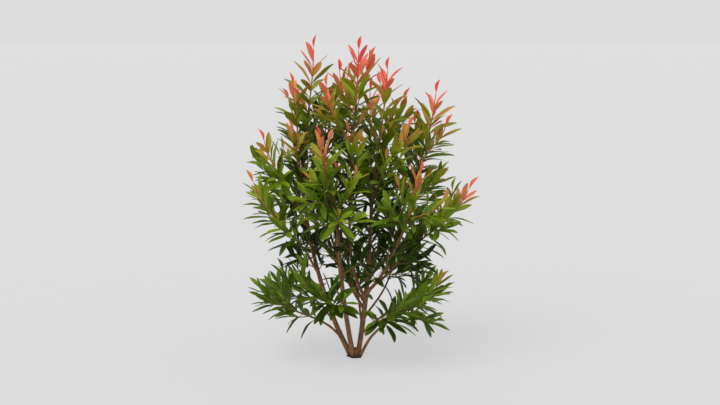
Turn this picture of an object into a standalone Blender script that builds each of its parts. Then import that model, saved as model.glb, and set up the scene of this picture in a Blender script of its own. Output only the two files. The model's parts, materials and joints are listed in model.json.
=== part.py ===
"""A bushy syzygium myrtifolium shrub with red shoot tips, cut off flat at ground level.

Units are metres, +Z is up, and the origin is the centre of the flat cut under the root crown.
The viewer stands at -Y and +X is to the right.  Five stems rise from one root crown.  Boughs leave
the stems, each stem or bough ends where it enters a mass, and each mass is one solid: twigs that
branch from one main shoot, with opposite pairs of leaves, each pair a quarter turn on from the last.
"""

import math
import random
from collections import namedtuple

import bmesh
import bpy
import numpy
from mathutils import Matrix, Vector
from mathutils.bvhtree import BVHTree
from mathutils.geometry import interpolate_bezier

UP = Vector((0.0, 0.0, 1.0))
CLEARANCE = 0.0003
SEAT_LENGTH = 0.004
WELD_DISTANCE = 1e-7
FLAT_ANGLE = math.radians(0.5)

# Root crown: its flare at the ground, and how far up the stems are still one piece.
CROWN_HEIGHT = 0.020
CROWN_FOOT_RADIUS = 0.0125
CROWN_TOP_RADIUS = 0.0135
CROWN_SIDES = 12
STUB_LENGTH = 0.034
STUB_SWELL = 1.12
BELOW_GROUND = 0.012
NUB_LENGTH = 0.023
NUB_RADIUS = 0.0032
NUB_END_RADIUS = 0.0022
NUB_HEIGHT = 0.0042
NUB_HEADING = 196.0
NUB_SIDES = 6
GROUND_CUT_SIZE = 0.120

# Limbs: foot or parent, tip, rise in degrees where it starts and ends, and its thickness there.
Stem = namedtuple("Stem", "foot tip rise_start rise_end thick_start thick_end")
STEMS = {
    "stem_front": Stem((-0.004, -0.006), (-0.041, -0.055, 0.315), 74, 86, 0.0130, 0.0095),
    "stem_right": Stem((0.006, -0.003), (0.040, 0.004, 0.358), 79, 88, 0.0124, 0.0082),
    "stem_left": Stem((-0.009, 0.004), (-0.122, 0.015, 0.366), 62, 82, 0.0134, 0.0078),
    "stem_low_right": Stem((0.010, -0.007), (0.050, -0.032, 0.070), 58, 42, 0.0086, 0.0060),
    "stem_rear": Stem((0.007, 0.009), (0.038, 0.098, 0.290), 66, 82, 0.0116, 0.0080),
}
Bough = namedtuple("Bough", "parent share tip rise_start rise_end thick_start thick_end")
BOUGHS = {
    "bough_centre_left": Bough("stem_right", 0.42, (-0.012, -0.006, 0.300), 54, 88, 0.0086, 0.0068),
    "bough_rear_left": Bough("stem_right", 0.34, (-0.062, 0.070, 0.300), 44, 70, 0.0070, 0.0056),
    "bough_right_front": Bough("stem_right", 0.46, (0.108, -0.056, 0.305), 38, 64, 0.0088, 0.0068),
    "bough_right_outer": Bough("bough_right_front", 0.22, (0.122, -0.014, 0.262), 26, 44, 0.0064, 0.0054),
    "bough_right_rear": Bough("bough_right_front", 0.48, (0.128, 0.026, 0.350), 50, 78, 0.0064, 0.0054),
    "bough_left_outer": Bough("stem_left", 0.60, (-0.122, -0.020, 0.272), 40, 46, 0.0064, 0.0054),
    "bough_left_high": Bough("stem_left", 0.90, (-0.150, -0.002, 0.396), 50, 60, 0.0062, 0.0054),
    "bough_left_low": Bough("stem_left", 0.13, (-0.074, -0.018, 0.090), 46, 30, 0.0066, 0.0054),
    "bough_left_near": Bough("stem_left", 0.30, (-0.054, -0.040, 0.134), 34, 30, 0.0056, 0.0048),
    "bough_right_near": Bough("stem_right", 0.17, (0.050, -0.050, 0.096), 34, 32, 0.0056, 0.0048),
    "bough_right_mid": Bough("stem_right", 0.28, (0.066, 0.044, 0.152), 40, 46, 0.0056, 0.0048),
    "bough_back_left": Bough("stem_rear", 0.46, (-0.070, 0.150, 0.250), 34, 50, 0.0074, 0.0058),
    "bough_back_right": Bough("stem_rear", 0.60, (0.096, 0.155, 0.290), 42, 62, 0.0074, 0.0058),
    "bough_back_low": Bough("stem_rear", 0.26, (0.010, 0.110, 0.115), 28, 32, 0.0062, 0.0052),
    "bough_back_low_left": Bough("stem_left", 0.22, (-0.078, 0.054, 0.112), 38, 34, 0.0062, 0.0052),
    "bough_back_low_right": Bough("stem_rear", 0.18, (0.072, 0.060, 0.094), 36, 32, 0.0060, 0.0050),
}
LIMBS = {**STEMS, **BOUGHS}
LIMB_SPANS = 6
STEM_SIDES = 8
BOUGH_SIDES = 6

# Masses: the limb that carries it, the tip of its main shoot, and the forks on that shoot, each
# given by the share of the shoot below it and by its tip.
Mass = namedtuple("Mass", "limb tip forks")
Fork = namedtuple("Fork", "share tip")
MASSES = {
    "top_left": Mass(
        "stem_left",
        (-0.101, 0.030, 0.748),
        (
            Fork(0.20, (-0.150, 0.010, 0.660)),
            Fork(0.12, (-0.148, -0.060, 0.552)),
            Fork(0.30, (-0.070, 0.080, 0.630)),
            Fork(0.03, (-0.072, -0.050, 0.470)),
        ),
    ),
    "left_high": Mass(
        "bough_left_high",
        (-0.216, -0.015, 0.527),
        (
            Fork(0.20, (-0.190, -0.090, 0.480)),
            Fork(0.25, (-0.225, 0.060, 0.495)),
        ),
    ),
    "left_outer": Mass(
        "bough_left_outer",
        (-0.240, -0.040, 0.430),
        (
            Fork(0.15, (-0.180, -0.110, 0.360)),
            Fork(0.30, (-0.228, 0.040, 0.390)),
        ),
    ),
    "front_left": Mass(
        "stem_front",
        (-0.080, -0.120, 0.543),
        (
            Fork(0.12, (-0.002, -0.150, 0.470)),
            Fork(0.22, (-0.116, -0.185, 0.440)),
            Fork(0.08, (-0.036, -0.205, 0.385)),
        ),
    ),
    "top_centre": Mass(
        "bough_centre_left",
        (0.009, 0.000, 0.746),
        (
            Fork(0.45, (-0.066, -0.030, 0.640)),
            Fork(0.52, (-0.036, 0.060, 0.690)),
            Fork(0.66, (0.034, 0.040, 0.718)),
            Fork(0.14, (0.012, -0.070, 0.540)),
        ),
    ),
    "top_right": Mass(
        "stem_right",
        (0.078, -0.010, 0.698),
        (
            Fork(0.34, (0.116, 0.050, 0.620)),
            Fork(0.22, (0.124, -0.040, 0.560)),
            Fork(0.06, (0.075, -0.080, 0.500)),
        ),
    ),
    "rear_left_high": Mass(
        "bough_rear_left",
        (-0.072, 0.130, 0.650),
        (
            Fork(0.45, (-0.125, 0.120, 0.580)),
            Fork(0.50, (-0.010, 0.125, 0.630)),
            Fork(0.12, (-0.020, 0.090, 0.450)),
        ),
    ),
    "front_right": Mass(
        "bough_right_front",
        (0.151, -0.105, 0.459),
        (
            Fork(0.10, (0.080, -0.160, 0.410)),
            Fork(0.25, (0.198, -0.150, 0.405)),
        ),
    ),
    "right_outer": Mass(
        "bough_right_outer",
        (0.271, -0.012, 0.409),
        (
            Fork(0.25, (0.205, -0.085, 0.360)),
            Fork(0.38, (0.245, 0.070, 0.380)),
        ),
    ),
    "right_high": Mass(
        "bough_right_rear",
        (0.196, 0.020, 0.640),
        (
            Fork(0.45, (0.216, 0.010, 0.560)),
            Fork(0.30, (0.150, 0.085, 0.560)),
            Fork(0.14, (0.200, 0.050, 0.440)),
        ),
    ),
    "low_right": Mass(
        "stem_low_right",
        (0.208, -0.058, 0.204),
        (
            Fork(0.34, (0.160, -0.125, 0.160)),
            Fork(0.46, (0.188, 0.010, 0.165)),
        ),
    ),
    "low_right_near": Mass(
        "bough_right_near",
        (0.112, -0.175, 0.180),
        (Fork(0.15, (0.042, -0.155, 0.135)),),
    ),
    "low_right_rear": Mass(
        "bough_right_mid",
        (0.112, 0.085, 0.320),
        (Fork(0.20, (0.160, 0.070, 0.250)),),
    ),
    "low_left": Mass(
        "bough_left_low",
        (-0.232, -0.030, 0.180),
        (
            Fork(0.30, (-0.170, -0.100, 0.165)),
            Fork(0.40, (-0.205, 0.045, 0.175)),
        ),
    ),
    "low_left_near": Mass(
        "bough_left_near",
        (-0.082, -0.185, 0.206),
        (
            Fork(0.20, (-0.125, -0.140, 0.215)),
            Fork(0.12, (-0.026, -0.160, 0.180)),
        ),
    ),
    "rear_mid": Mass(
        "stem_rear",
        (0.038, 0.150, 0.640),
        (
            Fork(0.20, (-0.030, 0.190, 0.520)),
            Fork(0.30, (0.090, 0.150, 0.560)),
            Fork(0.12, (0.030, 0.215, 0.450)),
        ),
    ),
    "rear_left": Mass(
        "bough_back_left",
        (-0.150, 0.190, 0.500),
        (
            Fork(0.28, (-0.215, 0.130, 0.410)),
            Fork(0.25, (-0.110, 0.240, 0.400)),
        ),
    ),
    "rear_right": Mass(
        "bough_back_right",
        (0.145, 0.190, 0.510),
        (
            Fork(0.20, (0.215, 0.140, 0.430)),
            Fork(0.20, (0.105, 0.250, 0.410)),
        ),
    ),
    "rear_low": Mass(
        "bough_back_low",
        (0.010, 0.245, 0.230),
        (
            Fork(0.25, (-0.060, 0.205, 0.230)),
            Fork(0.30, (0.065, 0.205, 0.250)),
        ),
    ),
    "rear_low_left": Mass(
        "bough_back_low_left",
        (-0.180, 0.160, 0.170),
        (Fork(0.28, (-0.215, 0.095, 0.155)),),
    ),
    "rear_low_right": Mass(
        "bough_back_low_right",
        (0.190, 0.160, 0.175),
        (Fork(0.28, (0.225, 0.095, 0.150)),),
    ),
}

# Twigs: three-sided, and their thickness at a fork and at a tip.
TWIG_SIDES = 3
TWIG_SPANS = 5
FORK_SHARE = 0.55
TWIG_TIP_THICK = 0.0022
TWIG_TURN_UP = 0.80
FORK_SPREAD = 0.70

# Leaves: spacing of the pairs, and length and angle to the twig of the oldest and youngest.
PAIR_SPACING = 0.037
BARE_SHARE = 0.10
YOUNG_REACH = 0.150
YOUNG_PAIRS = 2
OLD_LENGTH = 0.082
YOUNG_LENGTH = 0.052
OLD_ANGLE = 60.0
YOUNG_ANGLE = 24.0
BUD_ANGLE = 7.0
WIDTH_RATIO = 0.37
LEAF_THICK = 0.0020
OLD_ARCH = 0.15
LEAF_FOLD = 0.02
BARE_ROOT = 0.30
LENGTH_SPREAD = 0.12
ANGLE_SPREAD = 6.0
ROLL_SPREAD = 14.0
PAIR_STAGGER = 0.0016
QUARTER_TURN = 90.0
NEARLY_UPRIGHT = 0.05

# A leaf that would leave its mass's space is tried closer to its twig, then shorter.
CLOSER_TRIES = (1.0, 0.72, 0.48)
SHORTER_TRIES = (1.0, 0.78)
SPACE_MARGIN = 0.0010
LIMB_MARGIN = 0.0008
SEED = 11

# Material slots of a mass: its twigs, its old leaves and its young leaves.
OLD_SLOT = 1
YOUNG_SLOT = 2

Shoot = namedtuple("Shoot", "mass path thick_start thick_end main")


def remove_objects():
    for old in list(bpy.data.objects):
        bpy.data.objects.remove(old, do_unlink=True)


def new_collection(name):
    collection = bpy.data.collections.new(name)
    bpy.context.scene.collection.children.link(collection)
    return collection


def plain_material(name, colour, roughness):
    """A Principled material with one colour."""
    material = bpy.data.materials.new(name)
    material.use_nodes = True
    shader = material.node_tree.nodes["Principled BSDF"]
    shader.inputs["Base Color"].default_value = (*colour, 1.0)
    shader.inputs["Roughness"].default_value = roughness
    material.diffuse_color = (*colour, 1.0)
    return material


def smooth_arc(start, heading_start, heading_end, tip, spans):
    """Points of one smooth arc from start to tip, with the given headings at its two ends."""
    handle = (tip - start).length / 3.0
    near = start + heading_start.normalized() * handle
    far = tip - heading_end.normalized() * handle
    return [Vector(point) for point in interpolate_bezier(start, near, far, tip, spans + 1)]


def rising(start, tip, rise):
    """The heading from start towards tip in plan, rising by an angle in degrees."""
    run = Vector((tip.x - start.x, tip.y - start.y, 0.0)).normalized()
    angle = math.radians(rise)
    return run * math.cos(angle) + UP * math.sin(angle)


def object_from(bm, name, collection):
    """A new object that takes over a bmesh."""
    mesh = bpy.data.meshes.new(name)
    bm.to_mesh(mesh)
    bm.free()
    made = bpy.data.objects.new(name, mesh)
    collection.objects.link(made)
    return made


def path_length(path):
    return sum((b - a).length for a, b in zip(path, path[1:]))


def place_on(path, distance):
    """The point at a distance along a path, and the heading there."""
    for a, b in zip(path, path[1:]):
        span = (b - a).length
        if distance <= span:
            return a + (b - a) * (distance / span), (b - a).normalized()
        distance -= span
    return path[-1].copy(), (path[-1] - path[-2]).normalized()


def cut_path(path, distance):
    """The part of a path that lies beyond a distance along it."""
    start = place_on(path, distance)[0]
    kept = [start]
    travelled = 0.0
    for a, b in zip(path, path[1:]):
        travelled += (b - a).length
        if travelled > distance + CLEARANCE:
            kept.append(b)
    return kept


def taper(thick_start, thick_end, count):
    """Radii that run evenly from one thickness to another."""
    return [0.5 * (thick_start + (thick_end - thick_start) * i / (count - 1)) for i in range(count)]


def solid_from(source, name, collection):
    """A plain mesh object from an object as it evaluates, with its loose caps welded."""
    evaluated = source.evaluated_get(bpy.context.evaluated_depsgraph_get())
    mesh = bpy.data.meshes.new_from_object(evaluated)
    mesh.name = name
    bm = bmesh.new()
    bm.from_mesh(mesh)
    bmesh.ops.remove_doubles(bm, verts=bm.verts, dist=WELD_DISTANCE)
    bmesh.ops.triangulate(bm, faces=bm.faces)
    bmesh.ops.recalc_face_normals(bm, faces=bm.faces)
    bm.to_mesh(mesh)
    bm.free()
    matrix = source.matrix_world.copy()
    bpy.data.objects.remove(source, do_unlink=True)
    solid = bpy.data.objects.new(name, mesh)
    solid.matrix_world = matrix
    collection.objects.link(solid)
    return solid


def section_outline(sides, collection):
    """A flat regular outline of unit radius that a curve sweeps along itself."""
    curve = bpy.data.curves.new("section", "CURVE")
    curve.dimensions = "2D"
    spline = curve.splines.new("POLY")
    spline.points.add(sides - 1)
    for index, point in enumerate(spline.points):
        angle = math.tau * index / sides
        point.co = (math.cos(angle), math.sin(angle), 0.0, 1.0)
    spline.use_cyclic_u = True
    outline = bpy.data.objects.new("section_guide", curve)
    outline.hide_render = True
    collection.objects.link(outline)
    return outline


def tube(name, path, radii, sides, collection):
    """A closed tapering tube along a path."""
    outline = section_outline(sides, collection)
    curve = bpy.data.curves.new(name, "CURVE")
    curve.dimensions = "3D"
    curve.bevel_mode = "OBJECT"
    curve.bevel_object = outline
    curve.use_fill_caps = True
    spline = curve.splines.new("POLY")
    spline.points.add(len(path) - 1)
    for point, place, radius in zip(spline.points, path, radii):
        point.co = (*place, 1.0)
        point.radius = radius
    swept = bpy.data.objects.new(name, curve)
    collection.objects.link(swept)
    bpy.context.view_layer.update()
    solid = solid_from(swept, name, collection)
    bpy.data.objects.remove(outline, do_unlink=True)
    return solid


def boolean(body, operation, cutter=None, cutters=None):
    """Apply one Boolean to a mesh object, with one other object or with a collection of them."""
    modifier = body.modifiers.new(operation.lower(), "BOOLEAN")
    modifier.operation = operation
    if cutters is None:
        modifier.object = cutter
    else:
        modifier.operand_type = "COLLECTION"
        modifier.collection = cutters
    bpy.context.view_layer.update()
    evaluated = body.evaluated_get(bpy.context.evaluated_depsgraph_get())
    mesh = bpy.data.meshes.new_from_object(evaluated)
    body.modifiers.remove(modifier)
    body.data = mesh


def empty_collection(collection):
    """Remove a collection and the objects in it."""
    for part in list(collection.objects):
        bpy.data.objects.remove(part, do_unlink=True)
    bpy.data.collections.remove(collection)


def keep_main_piece(body):
    """Drop loose scraps and the skins of sealed hollows, and keep the largest piece."""
    bm = bmesh.new()
    bm.from_mesh(body.data)
    unseen = set(bm.verts)
    pieces = []
    while unseen:
        piece = set()
        edge_of_piece = [unseen.pop()]
        while edge_of_piece:
            vert = edge_of_piece.pop()
            piece.add(vert)
            for edge in vert.link_edges:
                other = edge.other_vert(vert)
                if other in unseen:
                    unseen.remove(other)
                    edge_of_piece.append(other)
        pieces.append(piece)
    largest = max(pieces, key=len)
    for piece in pieces:
        if piece is not largest:
            bmesh.ops.delete(bm, geom=list(piece), context="VERTS")
    bmesh.ops.dissolve_limit(bm, angle_limit=FLAT_ANGLE, verts=bm.verts, edges=bm.edges)
    bmesh.ops.triangulate(bm, faces=bm.faces)
    bm.to_mesh(body.data)
    bm.free()


def limb_paths():
    """The centre line of every stem and bough, from the foot or the parent's axis to the tip."""
    paths = {}
    for name, stem in STEMS.items():
        start = Vector((*stem.foot, 0.0))
        tip = Vector(stem.tip)
        paths[name] = smooth_arc(
            start, rising(start, tip, stem.rise_start), rising(start, tip, stem.rise_end), tip, LIMB_SPANS
        )
    for name, bough in BOUGHS.items():
        parent = paths[bough.parent]
        start = place_on(parent, path_length(parent) * bough.share)[0]
        tip = Vector(bough.tip)
        paths[name] = smooth_arc(
            start, rising(start, tip, bough.rise_start), rising(start, tip, bough.rise_end), tip, LIMB_SPANS
        )
    return paths


def build_crown(paths, plant, bark):
    """Build the root crown: a flared foot, a stub for each stem and a root nub, cut flat."""
    parts = new_collection("crown_parts")
    bm = bmesh.new()
    bmesh.ops.create_cone(
        bm,
        cap_ends=True,
        segments=CROWN_SIDES,
        radius1=CROWN_FOOT_RADIUS,
        radius2=CROWN_TOP_RADIUS,
        depth=CROWN_HEIGHT + BELOW_GROUND,
    )
    middle = 0.5 * (CROWN_HEIGHT - BELOW_GROUND)
    bmesh.ops.translate(bm, verts=bm.verts, vec=(0.0, 0.0, middle))
    crown = object_from(bm, "root_crown", plant)
    for name, stem in STEMS.items():
        path = paths[name]
        end, heading = place_on(path, STUB_LENGTH)
        neck = end - heading * SEAT_LENGTH
        foot = path[0] - (neck - path[0]).normalized() * BELOW_GROUND
        radius = 0.5 * stem.thick_start
        tube(name + "_stub", [foot, neck, end], [radius * STUB_SWELL, radius, radius], STEM_SIDES, parts)
    heading = Matrix.Rotation(math.radians(NUB_HEADING), 3, "Z") @ Vector((1.0, 0.0, 0.0))
    nub_foot = UP * NUB_HEIGHT
    nub_end = nub_foot + heading * NUB_LENGTH
    tube("nub", [nub_foot, nub_end], [NUB_RADIUS, NUB_END_RADIUS], NUB_SIDES, parts)
    boolean(crown, "UNION", cutters=parts)
    empty_collection(parts)
    ground = ground_block(plant)
    boolean(crown, "DIFFERENCE", cutter=ground)
    bpy.data.objects.remove(ground, do_unlink=True)
    keep_main_piece(crown)
    crown.data.materials.clear()
    crown.data.materials.append(bark)


def ground_block(collection):
    """A block whose top is the level ground, which cuts the foot of the crown flat."""
    bm = bmesh.new()
    bmesh.ops.create_cube(bm, size=GROUND_CUT_SIZE)
    bmesh.ops.translate(bm, verts=bm.verts, vec=(0.0, 0.0, -0.5 * GROUND_CUT_SIZE))
    return object_from(bm, "ground_block", collection)


def build_limbs(paths, plant, bark):
    """Build every stem from its stub, and every bough from its parent's skin."""
    limbs = {}
    for name, stem in STEMS.items():
        path = cut_path(paths[name], STUB_LENGTH + CLEARANCE)
        radii = taper(stem.thick_start, stem.thick_end, len(path))
        limbs[name] = tube(name, path, radii, STEM_SIDES, plant)
    for name, bough in BOUGHS.items():
        radii = taper(bough.thick_start, bough.thick_end, len(paths[name]))
        limbs[name] = tube(name, paths[name], radii, BOUGH_SIDES, plant)
        cutter = widened_limb(bough.parent, paths, CLEARANCE, plant)
        boolean(limbs[name], "DIFFERENCE", cutter=cutter)
        bpy.data.objects.remove(cutter, do_unlink=True)
        keep_main_piece(limbs[name])
    for limb in limbs.values():
        limb.data.shade_smooth()
        limb.data.materials.append(bark)


def widened_limb(name, paths, margin, collection):
    """A limb's own tube with its skin moved out by a margin."""
    sides = STEM_SIDES if name in STEMS else BOUGH_SIDES
    limb = LIMBS[name]
    path = paths[name]
    widening = margin / math.cos(math.pi / sides)
    radii = [radius + widening for radius in taper(limb.thick_start, limb.thick_end, len(path))]
    return tube(name + "_widened", path, radii, sides, collection)


def mass_shoots(paths):
    """The main shoot of every mass, from its limb's tip, and the forks on it."""
    shoots = []
    for name, mass in MASSES.items():
        limb = LIMBS[mass.limb]
        end, heading = place_on(paths[mass.limb], path_length(paths[mass.limb]))
        seat = end + heading * CLEARANCE
        start = seat + heading * SEAT_LENGTH
        tip = Vector(mass.tip)
        leaving = (tip - start).normalized() + UP * TWIG_TURN_UP
        main = [seat] + smooth_arc(start, heading, leaving, tip, TWIG_SPANS)
        shoots.append(Shoot(name, main, limb.thick_end, TWIG_TIP_THICK, True))
        for branch in mass.forks:
            thick = TWIG_TIP_THICK + (limb.thick_end - TWIG_TIP_THICK) * (1.0 - branch.share) * FORK_SHARE
            start, along = place_on(main, path_length(main) * branch.share)
            tip = Vector(branch.tip)
            straight = (tip - start).normalized()
            opening = along + straight * FORK_SPREAD
            fork = smooth_arc(start, opening, straight + UP * TWIG_TURN_UP, tip, TWIG_SPANS)
            shoots.append(Shoot(name, fork, thick, TWIG_TIP_THICK, False))
    return shoots


class Space:
    """Tells whether a point lies nearer to its own mass's twigs than to those of any other."""

    def __init__(self, shoots):
        pairs = [(s.mass, a, b) for s in shoots for a, b in zip(s.path, s.path[1:])]
        self.owners = numpy.array([mass for mass, a, b in pairs])
        self.starts = numpy.array([tuple(a) for mass, a, b in pairs])
        self.spans = numpy.array([tuple(b - a) for mass, a, b in pairs])
        self.squares = (self.spans**2).sum(axis=1)

    def distances(self, point):
        offsets = numpy.array(tuple(point)) - self.starts
        shares = numpy.clip((offsets * self.spans).sum(axis=1) / self.squares, 0.0, 1.0)
        return numpy.linalg.norm(offsets - self.spans * shares[:, None], axis=1)

    def holds(self, mass, points):
        own = self.owners == mass
        for point in points:
            distances = self.distances(point)
            if distances[own].min() + SPACE_MARGIN > distances[~own].min():
                return False
        return True


def leaf_cage(length, arch, bare=0.0):
    """An eight-faced leaf along +X, widest at its middle, with its upper face towards +Z.

    A bare share above nought leaves that much out at its root.
    """
    bm = bmesh.new()
    bmesh.ops.create_uvsphere(bm, u_segments=4, v_segments=2, radius=1.0)
    for vert in bm.verts:
        across, over, along = vert.co
        share = max(bare, 0.5 * (along + 1.0))
        lift = 0.5 * LEAF_THICK * over + LEAF_FOLD * length * abs(across) - arch * length * share**2
        vert.co = (length * share, 0.5 * WIDTH_RATIO * length * across, lift)
    bmesh.ops.recalc_face_normals(bm, faces=bm.faces)
    return bm


def leaf_frame(root, heading, upper):
    """The placing of a leaf: its root, the way it points and the side its upper face is on."""
    across = upper.cross(heading).normalized()
    normal = heading.cross(across).normalized()
    frame = Matrix((heading, across, normal)).transposed().to_4x4()
    frame.translation = root
    return frame


LeafPlace = namedtuple("LeafPlace", "root axis side angle length arch young")


def side_of(axis, turn):
    """A direction square to an axis, turned about it by an angle in degrees."""
    level = axis.cross(UP)
    if level.length < NEARLY_UPRIGHT:
        level = Vector((1.0, 0.0, 0.0))
    level.normalize()
    return Matrix.Rotation(math.radians(turn), 3, axis) @ level


def leaf_places(shoot, draw):
    """The leaves of a shoot from its tip down: a closed bud pair, then pairs a quarter turn apart."""
    length = path_length(shoot.path)
    count = max(2, round(length * (1.0 - BARE_SHARE) / PAIR_SPACING))
    first_turn = draw.uniform(0.0, 180.0)
    places = []
    for pair in range(count):
        back = pair * PAIR_SPACING
        age = min(1.0, back / YOUNG_REACH)
        turn = first_turn + QUARTER_TURN * pair + draw.uniform(-ROLL_SPREAD, ROLL_SPREAD)
        for half in (0, 1):
            distance = length - back - half * PAIR_STAGGER - PAIR_STAGGER
            root, axis = place_on(shoot.path, distance)
            angle = YOUNG_ANGLE + (OLD_ANGLE - YOUNG_ANGLE) * age + draw.uniform(-1.0, 1.0) * ANGLE_SPREAD
            if pair == 0:
                angle = BUD_ANGLE
            size = YOUNG_LENGTH + (OLD_LENGTH - YOUNG_LENGTH) * age
            size *= 1.0 + draw.uniform(-1.0, 1.0) * LENGTH_SPREAD
            side = side_of(axis, turn + 180.0 * half)
            places.append(LeafPlace(root, axis, side, angle, size, OLD_ARCH * age, pair < YOUNG_PAIRS))
    return places


def placed_leaf(place, closer, shorter, bare=0.0):
    """The cage of one leaf where it grows, at a share of its angle and of its length."""
    angle = math.radians(place.angle * closer)
    heading = place.axis * math.cos(angle) + place.side * math.sin(angle)
    upper = place.axis * math.sin(angle) - place.side * math.cos(angle)
    cage = leaf_cage(place.length * shorter, place.arch, bare)
    cage.transform(leaf_frame(place.root, heading, upper))
    return cage


def touches(cage, trees):
    """Tell whether a leaf's skin meets any solid in a list of search trees."""
    tree = BVHTree.FromBMesh(cage)
    return any(tree.overlap(other) for other in trees)


def fitting_leaf(place, mass, space, outer_trees, own_trees):
    """The first try at a leaf that stays in its space and touches nothing, or None.

    Its root may meet its own mass, because it is sunk in a twig there.
    """
    for shorter in SHORTER_TRIES:
        for closer in CLOSER_TRIES:
            cage = placed_leaf(place, closer, shorter)
            blade = placed_leaf(place, closer, shorter, BARE_ROOT)
            fits = space.holds(mass, [vert.co for vert in cage.verts])
            if fits and not touches(cage, outer_trees) and not touches(blade, own_trees):
                own_trees.append(BVHTree.FromBMesh(blade))
                blade.free()
                return cage
            blade.free()
            cage.free()
    return None


def limb_tree(name, paths, plant):
    """A search tree of a limb's tube, thicker by the margin that leaves keep to it."""
    body = widened_limb(name, paths, LIMB_MARGIN, plant)
    tree = tree_of(body)
    bpy.data.objects.remove(body, do_unlink=True)
    return tree


def tree_of(body):
    bm = bmesh.new()
    bm.from_mesh(body.data)
    tree = BVHTree.FromBMesh(bm)
    bm.free()
    return tree


def add_leaf(name, cage, slots, young, collection):
    """One leaf as an object, with the young or the old leaf material."""
    leaf = object_from(cage, name, collection)
    for material in slots:
        leaf.data.materials.append(material)
    for face in leaf.data.polygons:
        face.material_index = YOUNG_SLOT if young else OLD_SLOT


def build_mass(name, shoots, space, outer_trees, plant, slots, draw):
    """One mass: its twigs and leaves joined into one solid by a union on a collection."""
    parts = new_collection(name + "_parts")
    own = [shoot for shoot in shoots if shoot.mass == name]
    twigs = []
    for index, shoot in enumerate(own):
        home = plant if shoot.main else parts
        radii = taper(shoot.thick_start, shoot.thick_end, len(shoot.path))
        twig = tube(name if shoot.main else f"{name}_twig_{index}", shoot.path, radii, TWIG_SIDES, home)
        for material in slots:
            twig.data.materials.append(material)
        twigs.append(twig)
    own_trees = [tree_of(twig) for twig in twigs]
    kept = 0
    skipped = 0
    for shoot in own:
        for place in leaf_places(shoot, draw):
            cage = fitting_leaf(place, name, space, outer_trees, own_trees)
            if cage is None:
                skipped += 1
                continue
            add_leaf(f"{name}_leaf_{kept}", cage, slots, place.young, parts)
            kept += 1
    body = twigs[0]
    boolean(body, "UNION", cutters=parts)
    empty_collection(parts)
    keep_main_piece(body)
    print(f"{name}: {kept} leaves, {skipped} skipped, {len(body.data.polygons)} faces")
    return body


def main():
    remove_objects()
    plant = new_collection("syzygium_myrtifolium")
    bark = plain_material("bark", (0.20, 0.12, 0.07), 0.85)
    twig_bark = plain_material("twig_bark", (0.30, 0.16, 0.08), 0.75)
    old_leaf = plain_material("old_leaf", (0.10, 0.19, 0.04), 0.50)
    young_leaf = plain_material("young_leaf", (0.62, 0.16, 0.10), 0.50)
    slots = (twig_bark, old_leaf, young_leaf)
    paths = limb_paths()
    build_crown(paths, plant, bark)
    build_limbs(paths, plant, bark)
    shoots = mass_shoots(paths)
    space = Space(shoots)
    outer_trees = [limb_tree(name, paths, plant) for name in paths]
    draw = random.Random(SEED)
    for name in MASSES:
        body = build_mass(name, shoots, space, outer_trees, plant, slots, draw)
        outer_trees.append(tree_of(body))


main()
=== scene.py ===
"""The looks of a bushy syzygium myrtifolium shrub with red shoot tips.

Units are metres, +Z is up, the viewer stands at -Y and +X is to the right.  The bark follows the
packed stems and boughs.  Each mass of foliage grows again from its limb by the rule of its solid,
carried on to finer twigs and to every leaf.
"""

import json
import math
import random
from collections import namedtuple

import bpy
import numpy
from mathutils import Matrix, Vector, noise
from mathutils.bvhtree import BVHTree
from mathutils.geometry import interpolate_bezier

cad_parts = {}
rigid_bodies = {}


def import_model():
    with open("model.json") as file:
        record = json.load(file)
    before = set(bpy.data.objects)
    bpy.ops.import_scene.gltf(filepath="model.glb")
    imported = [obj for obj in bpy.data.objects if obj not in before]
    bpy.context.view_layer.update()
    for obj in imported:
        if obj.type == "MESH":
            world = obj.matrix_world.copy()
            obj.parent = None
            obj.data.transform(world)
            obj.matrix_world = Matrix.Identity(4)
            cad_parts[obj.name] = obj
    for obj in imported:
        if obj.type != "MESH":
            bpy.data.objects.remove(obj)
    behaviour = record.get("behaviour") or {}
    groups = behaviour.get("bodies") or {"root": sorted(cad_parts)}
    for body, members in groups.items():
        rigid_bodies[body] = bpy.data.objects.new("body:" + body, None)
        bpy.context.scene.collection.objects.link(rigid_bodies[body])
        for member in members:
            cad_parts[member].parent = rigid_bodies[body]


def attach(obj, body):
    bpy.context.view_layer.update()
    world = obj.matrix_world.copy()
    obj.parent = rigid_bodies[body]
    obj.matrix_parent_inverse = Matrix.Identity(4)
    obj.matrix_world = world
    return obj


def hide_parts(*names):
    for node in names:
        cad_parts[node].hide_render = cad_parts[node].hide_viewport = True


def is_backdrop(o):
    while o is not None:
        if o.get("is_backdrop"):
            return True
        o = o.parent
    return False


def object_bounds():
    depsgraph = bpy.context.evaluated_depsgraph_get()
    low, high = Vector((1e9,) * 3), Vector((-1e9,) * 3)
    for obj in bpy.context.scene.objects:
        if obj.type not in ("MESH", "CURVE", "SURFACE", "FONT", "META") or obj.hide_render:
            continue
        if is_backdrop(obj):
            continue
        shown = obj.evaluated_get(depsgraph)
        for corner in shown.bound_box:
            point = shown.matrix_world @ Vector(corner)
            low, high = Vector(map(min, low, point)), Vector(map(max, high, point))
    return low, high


UP = Vector((0.0, 0.0, 1.0))

# Viewpoint: a long lens a little above the middle of the shrub.
CAMERA_RISE = 8.0
CAMERA_DISTANCE = 3.4384
CAMERA_LENS = 70.0
CAMERA_AIM = (0.0125, 0.0, 0.3891)
SENSOR_WIDTH = 36.0

# Studio: even light from the horizon, less from above, and one soft lamp from the front left.
HORIZON_LIGHT = 0.723
ZENITH_LIGHT = 0.55
HORIZON_TOP = 0.10
ZENITH_FOOT = 0.60
SUN_FROM = (-0.55, -0.75, 1.15)
SUN_STRENGTH = 1.75
SUN_SOFTNESS = 50.0
FLOOR_SIZE = 60.0
FLOOR_TONE = 0.20
FLOOR_GLOW = 0.512

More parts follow.
